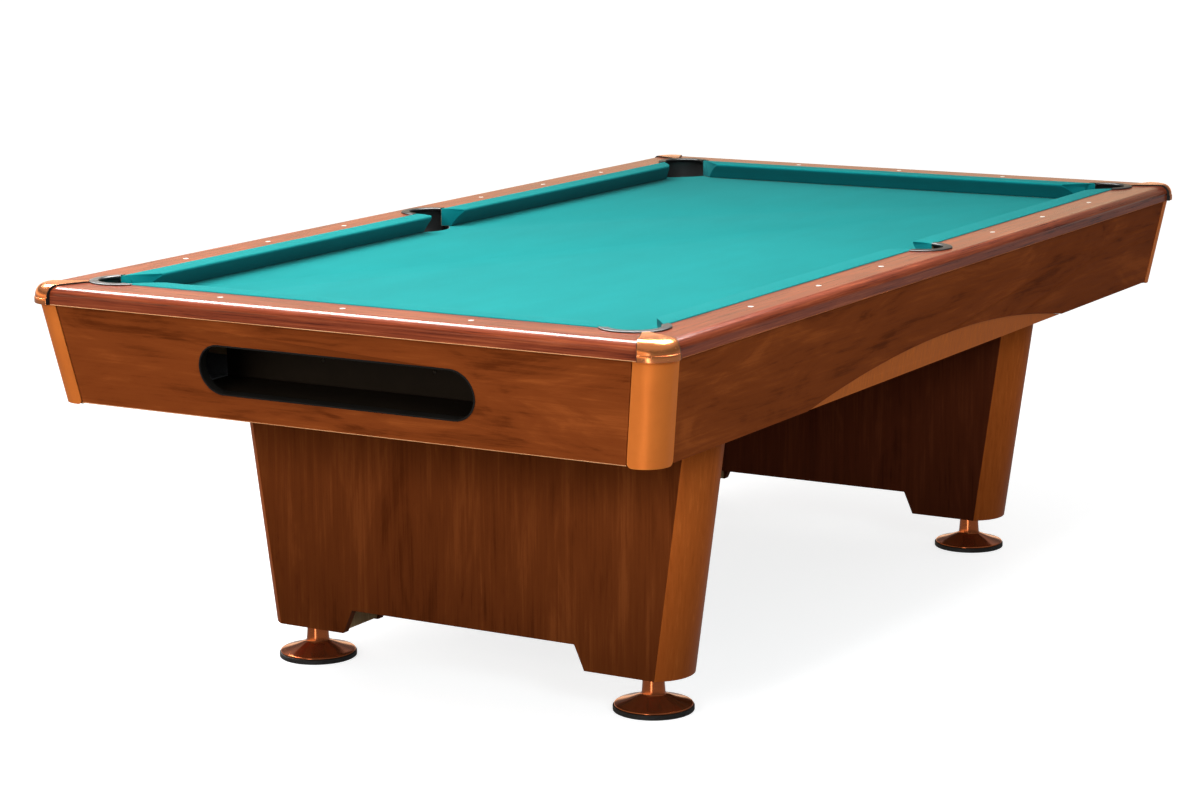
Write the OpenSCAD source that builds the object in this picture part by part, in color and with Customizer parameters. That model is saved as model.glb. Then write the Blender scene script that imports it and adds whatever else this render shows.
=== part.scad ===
// Eight-foot slate pool table with ball return, on two pedestal legs with levelling feet.
// X runs across the table, Y along it, and the ball window is at the -Y end.
// The origin is on the floor, under the middle of the table.

/* [Playing surface] */
// Length between the cushion noses
play_l = 2240; // [2180:10:2300]
// Width between the cushion noses
play_w = 1120; // [1090:5:1150]
// Height of the rail tops above the floor
rail_h = 823; // [813:1:838]
// Drop from the rail tops to the cloth of the bed
bed_drop = 38; // [37:0.5:39]
// Thickness of the slate
slate_t = 25; // [22:1:27]

/* [Rails] */
// Distance from the cushion nose to the rail's outer face
rail_w = 144; // [142:1:148]
// Width of the cushion, from its nose to the wood
cushion_w = 52; // [51:0.5:53]
// Height of the rail cap's outer face
cap_h = 35; // [33:1:37]
// Radius of the rail cap's outer top edge
cap_round = 17.5; // [14:0.5:17.5]
// Diameter of an aiming sight
sight_d = 11; // [8:1:14]
// Distance from the cushion nose to the sights
sight_setback = 90; // [84:1:96]

/* [Pockets] */
// Gap at a corner pocket, from the crossing of the nose lines to a nose end
corner_nose_gap = 86; // [82:1:90]
// The same gap where the corner facing meets the wood
corner_back_gap = 24; // [20:1:28]
// Half the width of a side pocket's mouth
side_nose_gap = 64; // [61:1:67]
// Half its width where the facings meet the wood
side_back_gap = 50; // [48:1:52]
// Outer radius of a pocket liner
liner_r = 66; // [64:1:67]
// Inner radius of its top flange
liner_lip_r = 47; // [44:1:49]

/* [Cabinet] */
// Height of the aprons
apron_h = 194; // [180:2:200]
// How far the aprons lean inwards over their height
apron_lean = 31; // [26:1:36]
// Thickness of the aprons
apron_t = 18; // [16:1:20]
// Length of the ball window
window_l = 616; // [560:2:660]
// Height of the ball window
window_h = 100; // [92:1:104]
// Rise of the arch under the long aprons
arch_rise = 57; // [45:1:65]
// Length of that arch
arch_l = 1280; // [1200:10:1340]

/* [Legs] */
// Distance from the middle of the table to the middle of each leg
leg_y = 762; // [740:1:780]
// Thickness of a leg, over its two panels
leg_t = 142; // [138:2:146]
// Half width of the leg panels at the bottom
leg_half_w = 440; // [430:1:445]
// Height of the leg's bottom edge above the floor
leg_clear = 78; // [76:1:82]
// Sideways lean of the leg's edges, per unit of height
leg_slope = 0.139; // [0.12:0.001:0.15]
// Distance from the middle of the table to the levelling feet, across it
foot_x = 399; // [390:1:405]
// Diameter of a foot's rubber pad
foot_d = 160; // [140:2:170]

/* [Hidden] */
$fn = 64;

// Sides are numbered round the table: 0 right, 1 rear, 2 left, 3 front.
RIGHT = 0;
REAR = 1;
LEFT = 2;
FRONT = 3;
half_x = play_w / 2;
half_y = play_l / 2;
bed_z = rail_h - bed_drop;
cloth_t = 1;
slate_top = bed_z - cloth_t;
slate_bottom = slate_top - slate_t;
cap_bottom = rail_h - cap_h;
apron_bottom = cap_bottom - apron_h;
slope = apron_lean / apron_h;
apron_angle = atan(slope);
// Outer face of the aprons at their top, measured from the nose line
apron_out = rail_w - 4;
// Wood under the cap: its inner edge, and the ledge that the cap sits on
subrail_in = 31.3;
subrail_out = 96;
ledge = 14.2;
// Distance along the corner's diagonal to the cushions' back ends, with a little room
mouth = (cushion_w - corner_back_gap) / sqrt(2) + 0.5;
// Pocket centres, measured outwards from the nose lines
corner_in = 14;
side_in = 48;
liner_wall_out = 62;
liner_wall_in = 58.5;
// Corner castings: the tip of the wedge, and its two sides' run and rise
wedge_tip = 49;
wedge_run = 78;
wedge_rise = 34;
casting_proud = 7;
casting_rise = 3;
casting_r = 52;
casting_dome = 22;
// Corner posts: width on each side, height over the aprons' faces, bend and thickness
post_cover = 61;
post_proud = 0.6;
post_r = 45;
post_wall = 14;
// Slate: overhang past the nose lines, joints between the three pieces, bolts
slate_over = 80;
slate_joint = 400;
bolt_setback = 68;
sight_pitch = play_w / 4;
bolt_r = 5;
// Window: centre height on the front apron
window_z = cap_bottom - apron_h / 2;
trim_w = 1.6;
arch_r = (arch_l * arch_l / 4 + arch_rise * arch_rise) / (2 * arch_rise);
arch_recess = 3;
arch_panel_t = 12;
// Ball return: the channels' floor heights at the front and the rear
gully_x = 593;
gully_w = 94;
gully_wall = 3;
gully_wall_h = 38;
gully_front_y = -half_y - 76;
gully_rear_y = half_y + 70;
gully_front_z = 657;
gully_rear_z = 697;
box_half = 345;
box_back_y = -half_y + 22;
box_front_y = -half_y - 90;
box_floor_z = 650;
cross_gully_y = [-half_y - 73, -half_y + 18];
// Timber frame under the slate
beam_x = [440, 480];
beam_bottom = 650;
beam_end_y = half_y - 35;
beam_t = 40;
// Legs
leg_panel_t = 18;
cheek_r = 82;
notch_half = [284, 262];
notch_h = 50;
core_t = leg_t - 2 * leg_panel_t;
leg_bolt_x = 460;
leg_bolt_r = 6;
// Levelling feet: threaded shank, its steel insert, and the tapered stem
shank_r = 10;
insert_z = [112, 150];
insert_r = 16;
stem_r = 20.5;
stem_top = 98;
pad_top = 9.8;
spigot_r = 12;

function out_half(i) = i % 2 == 0 ? half_x : half_y;
function along_half(i) = i % 2 == 0 ? half_y : half_x;

// Puts a shape on side i: +X points outwards from the nose line, Y runs along the side
module on_side(i) rotate([0, 0, 90 * i]) translate([out_half(i), 0, 0]) children();

// Puts a shape drawn for the rear right corner on the corner with signs sx and sy,
// with X and Y measured outwards from the nose lines
module on_corner(sx, sy)
    mirror([sx < 0 ? 1 : 0, 0, 0])
        mirror([0, sy < 0 ? 1 : 0, 0])
            translate([half_x, half_y, 0])
                children();

// Extrudes a section, drawn with its X outwards and its Y upwards, along a side
module along(length) rotate([90, 0, 0]) linear_extrude(length, center = true) children();

// ---- Rails ----

module cap_section() difference() {
    union() {
        translate([cushion_w, -cap_h]) square([rail_w - cushion_w, cap_h - cap_round]);
        translate([cushion_w, -cap_h]) square([rail_w - cap_round - cushion_w, cap_h]);
        translate([rail_w - cap_round, -cap_round]) circle(cap_round);
    }
    translate([0, -cap_h - 1]) square([subrail_out + 0.2, cap_h + 1.2 - ledge]);
}

// Ground plan of what a corner takes from the end of a rail cap
module cap_end_plan() {
    lift = wedge_rise / wedge_run;
    far = 200;
    polygon([
        [0, wedge_tip - wedge_tip * lift - 0.3],
        [far, wedge_tip + (far - wedge_tip) * lift - 0.3],
        [far, far * 2],
        [0, far * 2]
    ]);
    translate([corner_in, corner_in]) circle(liner_r + 0.3);
}

module side_pocket_plan() translate([side_in, 0]) circle(liner_r + 0.3);

module rail_cap(i) color("indianred") on_side(i) difference() {
    translate([0, 0, rail_h]) along(2 * (along_half(i) + rail_w)) cap_section();
    for (s = [0, 1])
        mirror([0, s, 0])
            translate([0, along_half(i), rail_h - 50])
                linear_extrude(60)
                    cap_end_plan();
    if (i % 2 == 0) translate([0, 0, rail_h - 50]) linear_extrude(60) side_pocket_plan();
    sight_places(i) translate([0, 0, rail_h - 2]) cylinder(r = sight_d / 2 + 0.05, h = 5);
}

// Runs its children at each sight of side i
module sight_places(i)
    for (k = i % 2 == 0 ? [-3, -2, -1, 1, 2, 3] : [-1, 0, 1])
        translate([sight_setback, k * sight_pitch, 0])
            children();

// Runs its children at each rail bolt of side i
module bolt_places(i)
    for (k = i % 2 == 0 ? [-3, -2, -1, 1, 2, 3] : [-1, 0, 1])
        translate([bolt_setback, k * sight_pitch, 0])
            children();

module sights() color("white")
    for (i = [RIGHT : FRONT])
        on_side(i) sight_places(i) translate([0, 0, rail_h - 2]) cylinder(r = sight_d / 2, h = 2.3);

// Ground plan of one cushion; part 0 runs the whole side, parts 1 and -1 are its halves
module cushion_plan(i, part) {
    nose_end = along_half(i) - corner_nose_gap;
    back_end = along_half(i) - corner_back_gap;
    if (part == 0)
        polygon([[-5, -nose_end], [0, -nose_end], [cushion_w, -back_end],
            [cushion_w, back_end], [0, nose_end], [-5, nose_end]]);
    else
        mirror([0, part < 0 ? 1 : 0])
            polygon([[-5, side_nose_gap], [0, side_nose_gap], [cushion_w, side_back_gap],
                [cushion_w, back_end], [0, nose_end], [-5, nose_end]]);
}

// Rubber and cloth, from the nose back to the bevelled wood behind it
module cushion_section() polygon([
    [0, -2.5], [0.8, 0.3], [3, 2], [6, 2.5], [cushion_w - 3, 2.5], [cushion_w - 0.2, 0.2],
    [cushion_w - 0.2, -0.8], [42.6, -0.8], [30.9, 0.4 - bed_drop], [29.5, 0.4 - bed_drop],
    [2, -6.5], [0.3, -4.5]
]);

module cushion(i, part) color("darkturquoise") on_side(i) intersection() {
    translate([0, 0, rail_h]) along(2 * along_half(i)) cushion_section();
    translate([0, 0, bed_z - 10]) linear_extrude(60) cushion_plan(i, part);
}

module subrail_section() polygon([
    [subrail_in, -bed_drop], [subrail_out, -bed_drop], [subrail_out, -ledge],
    [cushion_w - 0.2, -ledge], [cushion_w - 0.2, -9.2], [cushion_w - 6.2, -9.2],
    [cushion_w - 6.2, -1.2], [43, -1.2]
]);

// Ground plan of one piece of subrail: the cushion's ends, carried on past the wood line
module subrail_plan(i, part) {
    back_end = along_half(i) - corner_back_gap;
    difference() {
        union() {
            cushion_plan(i, part);
            for (s = part == 0 ? [-1, 1] : [part])
                mirror([0, s < 0 ? 1 : 0])
                    translate([cushion_w - 1, part == 0 ? 0 : side_back_gap])
                        square([subrail_out - cushion_w + 2, back_end - (part == 0 ? 0 : side_back_gap)]);
        }
        intersection() {
            union() {
                for (s = [0, 1])
                    mirror([0, s])
                        translate([corner_in, along_half(i) + corner_in])
                            circle(liner_r + 0.5);
                if (part != 0) translate([side_in, 0]) circle(liner_r + 0.5);
            }
            translate([cushion_w + 0.1, -2 * half_y]) square([100, 4 * half_y]);
        }
    }
}

module subrails() color("burlywood")
    for (i = [RIGHT : FRONT], part = i % 2 == 0 ? [-1, 1] : [0])
        on_side(i) difference() {
            intersection() {
                translate([0, 0, rail_h]) along(2 * along_half(i)) subrail_section();
                translate([0, 0, bed_z - 10]) linear_extrude(60) subrail_plan(i, part);
            }
            bolt_places(i) translate([0, 0, bed_z - 5]) cylinder(r = bolt_r + 0.05, h = 23);
        }

module feather_strips() color("tan")
    for (i = [RIGHT : FRONT], part = i % 2 == 0 ? [-1, 1] : [0])
        on_side(i) intersection() {
            translate([0, 0, rail_h])
                along(2 * along_half(i))
                    translate([cushion_w - 6, -9])
                        square([6, 8]);
            translate([0, 0, bed_z - 10]) linear_extrude(60) cushion_plan(i, part);
        }

// ---- Corners ----

module wedge_plan(inset) {
    tip = wedge_tip + inset * 2.4;
    reach = 1.6;
    polygon([
        [tip, tip],
        [tip + wedge_run * reach, tip + wedge_rise * reach],
        [tip + wedge_run * reach, tip + wedge_run * reach],
        [tip + wedge_rise * reach, tip + wedge_run * reach]
    ]);
}

// Section of the casting from its round corner's centre outwards, domed on top
module casting_section() {
    top = casting_rise;
    flat = casting_r - casting_dome;
    translate([0, -cap_h]) square([casting_r, cap_h + top - casting_dome]);
    translate([0, -cap_h]) square([flat, cap_h + top]);
    translate([flat, top - casting_dome]) circle(casting_dome);
}

module corner_casting(sx, sy) color("peru") on_corner(sx, sy) difference() {
    core = rail_w + casting_proud - casting_r;
    intersection() {
        translate([0, 0, rail_h]) union() {
            translate([core, core, 0])
                rotate_extrude()
                    intersection() {
                        casting_section();
                        translate([0, -100]) square([100, 200]);
                    }
            translate([core, core - 45, 0]) rotate([90, 0, 0])
                linear_extrude(90, center = true) casting_section();
            translate([core - 45, core, 0]) rotate([90, 0, 90])
                linear_extrude(90, center = true) casting_section();
            translate([0, 0, -cap_h]) cube([core, core, cap_h + casting_rise]);
        }
        translate([0, 0, cap_bottom]) linear_extrude(60) wedge_plan(0);
    }
    translate([corner_in, corner_in, cap_bottom - 1]) cylinder(r = liner_r + 0.3, h = 60);
    translate([0, 0, cap_bottom - 1])
        linear_extrude(cap_h - 8)
            intersection() {
                wedge_plan(5);
                square(rail_w - 18);
            }
}

// Plan of a corner at the origin, rounded by r about the middle of the post's bend
module round_corner(r)
    hull()
        for (p = [[0, 0], [-150, 0], [0, -150]])
            translate([p[0] - post_r, p[1] - post_r]) circle(r, $fn = 128);

// The post's outside as seen from above, with its outer corner at the origin
module post_plan() intersection() {
    translate([-post_cover - post_proud, -post_cover - post_proud])
        square(post_cover + post_proud);
    round_corner(post_r);
}

// The room behind it, flush with the aprons' inner faces
module post_core_plan() intersection() {
    translate([-150, -150]) square(150 - post_proud - apron_t);
    round_corner(post_r - post_wall);
}

// Puts a plan at height z, leaning with the aprons
module post_slice(z) {
    c = apron_out + post_proud - (cap_bottom - z) * slope;
    translate([c, c, z]) linear_extrude(0.1) children();
}

module corner_post(sx, sy) color("chocolate") on_corner(sx, sy) difference() {
    hull() {
        post_slice(cap_bottom - 0.1) post_plan();
        post_slice(apron_bottom - 4) post_plan();
    }
    hull() {
        post_slice(cap_bottom + 1) post_core_plan();
        post_slice(apron_bottom - 6) post_core_plan();
    }
}

// ---- Pockets ----

// Moulded liner: top flange, wall down through the slate, and a funnel under it
module liner_section(funnel_r, funnel_drop) polygon([
    [liner_lip_r, 3], [liner_r - 2, 3], [liner_r, 1], [liner_r, -2], [liner_wall_out, -2],
    [liner_wall_out, -62], [funnel_r + 3, -funnel_drop], [funnel_r, -funnel_drop],
    [liner_wall_in, -60], [liner_wall_in, -4], [liner_lip_r, 0]
]);

module corner_liner(sx, sy) color("dimgray") on_corner(sx, sy) difference() {
    translate([corner_in, corner_in, rail_h]) rotate_extrude($fn = 96) liner_section(48, 86);
    // Above the bed, the mouth between the cushions' ends stays open
    intersection() {
        translate([-200 + cushion_w + 0.2, -200 + cushion_w + 0.2, bed_z - 1]) cube([200, 200, 80]);
        rotate([0, 0, 45]) translate([mouth - 200, -200, bed_z - 1]) cube([200, 400, 80]);
    }
    // Below it, the wall stops at the edge of the slate
    rotate([0, 0, 45]) translate([28.5 - 200, -200, 600]) cube([200, 400, bed_z - 600]);
}

module side_liner(i) color("dimgray") on_side(i) difference() {
    translate([side_in, 0, rail_h]) rotate_extrude($fn = 96) liner_section(32, 100);
    translate([-200 + cushion_w + 0.2, -200, 600]) cube([200, 400, 300]);
}

// ---- Bed ----

// Ground plan of the slate, with its pocket cut-outs and bolt holes
module slate_plan() difference() {
    square([2 * (half_x + slate_over), 2 * (half_y + slate_over)], center = true);
    for (sx = [0, 1], sy = [0, 1])
        mirror([sx, 0]) mirror([0, sy]) translate([half_x, half_y]) {
            intersection() {
                translate([corner_in, corner_in]) circle(liner_r + 1, $fn = 96);
                translate([115, 115]) circle(150, $fn = 180);
            }
            translate([corner_in, corner_in]) square(slate_over);
        }
    for (s = [0, 1])
        mirror([s, 0]) translate([half_x + 88, 0]) circle(76, $fn = 96);
    for (i = [RIGHT : FRONT])
        rotate(90 * i)
            translate([out_half(i), 0])
                bolt_places(i)
                    circle(bolt_r + 0.5, $fn = 24);
}

module slate(y0, y1) color("slategray") intersection() {
    translate([0, 0, slate_bottom]) linear_extrude(slate_t) slate_plan();
    translate([-1000, y0, slate_bottom - 1]) cube([2000, y1 - y0, slate_t + 2]);
}

module bed_cloth() color("turquoise")
    translate([0, 0, slate_top]) linear_extrude(cloth_t) slate_plan();

// ---- Aprons ----

// Slanted board, from depth a to depth b behind the aprons' outer face
module apron_section(a, b) polygon([
    [apron_out - a, cap_bottom], [apron_out - b, cap_bottom],
    [apron_out - b - apron_lean, apron_bottom], [apron_out - a - apron_lean, apron_bottom]
]);

// Outline of an apron seen square on; its ends follow the corner posts
module apron_outline(i) {
    top = along_half(i) + apron_out - post_cover - 0.2;
    polygon([[-top, cap_bottom], [top, cap_bottom],
        [top - apron_lean, apron_bottom], [apron_lean - top, apron_bottom]]);
}

module arch_cylinder(gap)
    translate([100, 0, apron_bottom + arch_rise - arch_r])
        rotate([0, 90, 0])
            cylinder(r = arch_r - gap, h = 200, center = true, $fn = 2880);

module apron_board(i) intersection() {
    along(2 * (along_half(i) + rail_w)) apron_section(0, apron_t);
    rotate([90, 0, 90]) linear_extrude(rail_w) apron_outline(i);
}

// Places its children square on the front apron's face, at the middle of the window
module on_window()
    on_side(FRONT)
        translate([apron_out - (cap_bottom - window_z) * slope, 0, window_z])
            rotate([0, apron_angle, 0])
                rotate([90, 0, 90])
                    children();

module stadium(length, height) {
    straight = length - height;
    square([straight, height], center = true);
    for (s = [-1, 1])
        translate([s * straight / 2, 0]) circle(height / 2, $fn = 96);
}

module apron(i) color("sienna") {
    if (i == FRONT)
        difference() {
            on_side(i) apron_board(i);
            on_window()
                linear_extrude(80, center = true)
                    stadium(window_l - 2 * trim_w + 0.4, window_h - 2 * trim_w + 0.4);
        }
    else if (i == REAR)
        on_side(i) apron_board(i);
    else
        on_side(i) difference() {
            apron_board(i);
            arch_cylinder(0);
        }
}

module arch_panels() color("chocolate")
    for (i = [RIGHT, LEFT])
        on_side(i) intersection() {
            along(arch_l - 20) apron_section(arch_recess, arch_recess + arch_panel_t);
            arch_cylinder(0.3);
        }

module window_trim() color("black") on_window() {
    difference() {
        linear_extrude(1.5) stadium(window_l, window_h);
        translate([0, 0, -1])
            linear_extrude(5)
                stadium(window_l - 4 * trim_w, window_h - 4 * trim_w);
    }
    difference() {
        translate([0, 0, -apron_t])
            linear_extrude(apron_t)
                stadium(window_l - 2 * trim_w, window_h - 2 * trim_w);
        translate([0, 0, -apron_t - 1])
            linear_extrude(apron_t + 5)
                stadium(window_l - 4 * trim_w, window_h - 4 * trim_w);
    }
}

// ---- Ball return ----

module ball_box() color("black") {
    wall = 6;
    top = slate_bottom - 2;
    // Floor, falling a little towards the window
    rotate([90, 0, 90])
        linear_extrude(2 * box_half, center = true)
            polygon([[box_back_y, box_floor_z], [box_front_y, box_floor_z - 5],
                [box_front_y, box_floor_z - 5 - wall], [box_back_y, box_floor_z - wall]]);
    translate([-box_half - wall, box_back_y, box_floor_z - wall])
        cube([2 * (box_half + wall), wall, top - box_floor_z + wall]);
    for (s = [0, 1])
        mirror([s, 0, 0]) difference() {
            translate([box_half, box_front_y, box_floor_z - 5 - wall])
                cube([wall, box_back_y - box_front_y, top - box_floor_z + 5 + wall]);
            translate([box_half - 1, cross_gully_y[0], box_floor_z - 1])
                cube([wall + 2, cross_gully_y[1] - cross_gully_y[0], 90]);
        }
}

// Height of a channel's floor at the place y along the table
function gully_z(y) = gully_front_z
    + (gully_rear_z - gully_front_z) * (y - gully_front_y) / (gully_rear_y - gully_front_y);

// Upright sheet or floor of a channel: from y0 to y1, between two heights over the floor line
module gully_sheet(x0, thick, y0, y1, low, high)
    translate([x0, 0, 0]) rotate([90, 0, 90]) linear_extrude(thick)
        polygon([[y0, gully_z(y0) + low], [y1, gully_z(y1) + low],
            [y1, gully_z(y1) + high], [y0, gully_z(y0) + high]]);

module ball_gully() {
    inner = gully_x - gully_w / 2;
    outer = gully_x + gully_w / 2;
    w = gully_wall;
    gully_sheet(inner - w, gully_w + 2 * w, gully_front_y, gully_rear_y, -w, 0);
    gully_sheet(outer, w, gully_front_y, gully_rear_y, -w, gully_wall_h);
    gully_sheet(inner - w, w, cross_gully_y[1], gully_rear_y, -w, gully_wall_h);
    for (y = [gully_front_y, gully_rear_y - w])
        gully_sheet(inner - w, gully_w + 2 * w, y, y + w, -w, gully_wall_h);
    // Hangers from the frame's side beam
    for (y = [-560, 0, 560])
        translate([beam_x[1], y - 20, gully_z(y) + 10]) cube([inner - w - beam_x[1], 40, 4]);
    // Branch across to the ball box
    x0 = box_half + 6;
    x1 = inner - w;
    z0 = box_floor_z + 1;
    z1 = gully_front_z;
    rotate([90, 0, 0]) translate([0, 0, -cross_gully_y[1]])
        linear_extrude(cross_gully_y[1] - cross_gully_y[0])
            polygon([[x0, z0], [x1, z1], [x1, z1 - w], [x0, z0 - w]]);
    for (y = [cross_gully_y[0] - w, cross_gully_y[1]])
        rotate([90, 0, 0]) translate([0, 0, -y - w])
            linear_extrude(w)
                polygon([[x0, z0 - w], [x1, z1 - w], [x1, z1 + gully_wall_h], [x0, z0 + gully_wall_h]]);
}

module ball_gullies() color("gray")
    for (s = [0, 1])
        mirror([s, 0, 0]) ball_gully();

// ---- Frame under the slate ----

module side_beams() color("burlywood")
    for (s = [0, 1])
        mirror([s, 0, 0]) difference() {
            translate([beam_x[0], -beam_end_y, beam_bottom])
                cube([beam_x[1] - beam_x[0], 2 * beam_end_y, slate_bottom - beam_bottom]);
            leg_bolt_places() translate([0, 0, beam_bottom - 1]) cylinder(r = leg_bolt_r + 0.05, h = 52);
        }

module cross_beams() color("burlywood")
    for (y = [-beam_end_y, -slate_joint - beam_t / 2, slate_joint - beam_t / 2, beam_end_y - beam_t])
        translate([-beam_x[0], y, beam_bottom])
            cube([2 * beam_x[0], beam_t, slate_bottom - beam_bottom]);

// ---- Legs ----

function leg_half(z) = leg_half_w + (z - leg_clear) * leg_slope;

module leg_outline() polygon([
    [-leg_half_w, leg_clear], [-notch_half[0], leg_clear],
    [-notch_half[1], leg_clear + notch_h], [notch_half[1], leg_clear + notch_h],
    [notch_half[0], leg_clear], [leg_half_w, leg_clear],
    [leg_half(beam_bottom), beam_bottom], [-leg_half(beam_bottom), beam_bottom]
]);

// Veneered panel across the leg, with its outer face at y
module leg_panel(y) color("saddlebrown")
    translate([0, y, 0]) rotate([90, 0, 0]) linear_extrude(leg_panel_t) leg_outline();

// Bowed moulding that closes the leg's edge between its two panels
module leg_cheek_section() intersection() {
    translate([-sqrt(cheek_r * cheek_r - leg_t * leg_t / 4), 0]) circle(cheek_r, $fn = 128);
    translate([0.2, -leg_t / 2]) square([cheek_r, leg_t]);
}

module leg_cheeks(sy) color("peru")
    for (s = [0, 1])
        mirror([s, 0, 0]) intersection() {
            translate([leg_half_w, sy * leg_y, leg_clear])
                rotate([0, atan(leg_slope), 0])
                    translate([0, 0, -40])
                        linear_extrude(700)
                            leg_cheek_section();
            translate([0, sy * leg_y - leg_t, leg_clear])
                cube([700, 2 * leg_t, beam_bottom - leg_clear]);
        }

// Runs its children at the four bolts of each leg, on the +X side
module leg_bolt_places()
    for (sy = [-1, 1], dy = [-35, 35])
        translate([leg_bolt_x, sy * leg_y + dy, 0])
            children();

// Timber box inside the leg; it carries the feet and takes the bolts to the frame
module leg_core(sy) color("burlywood") difference() {
    translate([0, sy * leg_y + core_t / 2, 0])
        rotate([90, 0, 0])
            linear_extrude(core_t)
                difference() {
                    leg_outline();
                    translate([-600, 0]) square([1200, leg_clear + 4]);
                    translate([-notch_half[0] - 2, 0])
                        square([2 * notch_half[0] + 4, leg_clear + notch_h + 4]);
                    polygon([[-405, 190], [405, 190], [480, 610], [-480, 610]]);
                }
    for (sx = [-1, 1])
        translate([sx * foot_x, sy * leg_y, 0]) {
            translate([0, 0, leg_clear]) cylinder(r = 24, h = insert_z[0] - leg_clear);
            cylinder(r = insert_r + 0.05, h = insert_z[1]);
            cylinder(r = shank_r + 1, h = 250);
        }
    for (s = [0, 1])
        mirror([s, 0, 0])
            leg_bolt_places()
                translate([0, 0, 600])
                    cylinder(r = leg_bolt_r + 0.05, h = 60);
}

module foot_inserts() color("gray")
    for (sx = [-1, 1], sy = [-1, 1])
        translate([sx * foot_x, sy * leg_y, insert_z[0]]) difference() {
            cylinder(r = insert_r, h = insert_z[1] - insert_z[0]);
            translate([0, 0, -1]) cylinder(r = shank_r + 0.05, h = 60);
        }

module leg_bolts() color("silver")
    for (s = [0, 1])
        mirror([s, 0, 0]) leg_bolt_places() {
            translate([0, 0, 602]) cylinder(r = leg_bolt_r * 1.5, h = 8);
            translate([0, 0, 609]) cylinder(r = leg_bolt_r, h = 90);
        }

module rail_bolts() color("silver")
    for (i = [RIGHT : FRONT])
        on_side(i) bolt_places(i) {
            translate([0, 0, slate_bottom - 8]) cylinder(r = 9, h = 8);
            translate([0, 0, slate_bottom - 1]) cylinder(r = bolt_r, h = 43);
        }

// ---- Levelling feet ----

// Turned foot: cone, tapered stem and threaded shank in one
module foot(sx, sy) color("sandybrown")
    translate([sx * foot_x, sy * leg_y, 0])
        rotate_extrude()
            polygon([
                [0, 4], [spigot_r, 4], [spigot_r, 10], [foot_d / 2 - 4, 10],
                [foot_d / 2 - 2.5, 11.5], [foot_d / 2 - 3, 14], [24, 32], [23, 36],
                [stem_r, 80], [stem_r, stem_top], [shank_r, stem_top],
                [shank_r, 173], [shank_r - 2, 175], [0, 175]
            ]);

module pad(sx, sy) color("black")
    translate([sx * foot_x, sy * leg_y, 0])
        rotate_extrude()
            polygon([
                [0, 0], [foot_d / 2 - 1, 0], [foot_d / 2, 1], [foot_d / 2, pad_top - 1],
                [foot_d / 2 - 1, pad_top], [spigot_r + 0.05, pad_top], [spigot_r + 0.05, 3.8], [0, 3.8]
            ]);

rail_cap(FRONT);  // rail_cap_front
rail_cap(REAR);  // rail_cap_rear
rail_cap(LEFT);  // rail_cap_left
rail_cap(RIGHT);  // rail_cap_right
subrails();
feather_strips();
cushion(FRONT, 0);  // cushion_front
cushion(REAR, 0);  // cushion_rear
cushion(LEFT, 1);  // cushion_left_front
cushion(LEFT, -1);  // cushion_left_rear
cushion(RIGHT, -1);  // cushion_right_front
cushion(RIGHT, 1);  // cushion_right_rear
corner_casting(-1, -1);  // corner_casting_front_left
corner_casting(1, -1);  // corner_casting_front_right
corner_casting(-1, 1);  // corner_casting_rear_left
corner_casting(1, 1);  // corner_casting_rear_right
corner_post(-1, -1);  // corner_post_front_left
corner_post(1, -1);  // corner_post_front_right
corner_post(-1, 1);  // corner_post_rear_left
corner_post(1, 1);  // corner_post_rear_right
corner_liner(-1, -1);  // pocket_liner_front_left
corner_liner(1, -1);  // pocket_liner_front_right
corner_liner(-1, 1);  // pocket_liner_rear_left
corner_liner(1, 1);  // pocket_liner_rear_right
side_liner(LEFT);  // pocket_liner_side_left
side_liner(RIGHT);  // pocket_liner_side_right
bed_cloth();
slate(-half_y - slate_over, -slate_joint);  // slate_front
slate(-slate_joint, slate_joint);  // slate_middle
slate(slate_joint, half_y + slate_over);  // slate_rear
apron(FRONT);  // apron_front
apron(REAR);  // apron_rear
apron(LEFT);  // apron_left
apron(RIGHT);  // apron_right
arch_panels();
window_trim();
ball_box();
ball_gullies();
side_beams();
cross_beams();
leg_panel(-leg_y - leg_t / 2 + leg_panel_t);  // leg_panel_front_outer
leg_panel(-leg_y + leg_t / 2);  // leg_panel_front_inner
leg_panel(leg_y - leg_t / 2 + leg_panel_t);  // leg_panel_rear_inner
leg_panel(leg_y + leg_t / 2);  // leg_panel_rear_outer
leg_cheeks(-1);  // leg_cheeks_front
leg_cheeks(1);  // leg_cheeks_rear
leg_core(-1);  // leg_core_front
leg_core(1);  // leg_core_rear
foot_inserts();
sights();
rail_bolts();
leg_bolts();
foot(-1, -1);  // foot_front_left
foot(1, -1);  // foot_front_right
foot(-1, 1);  // foot_rear_left
foot(1, 1);  // foot_rear_right
pad(-1, -1);  // pad_front_left
pad(1, -1);  // pad_front_right
pad(-1, 1);  // pad_rear_left
pad(1, 1);  // pad_rear_right
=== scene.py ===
import math

import bmesh
import bpy
from mathutils import Matrix, Vector, noise


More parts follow.
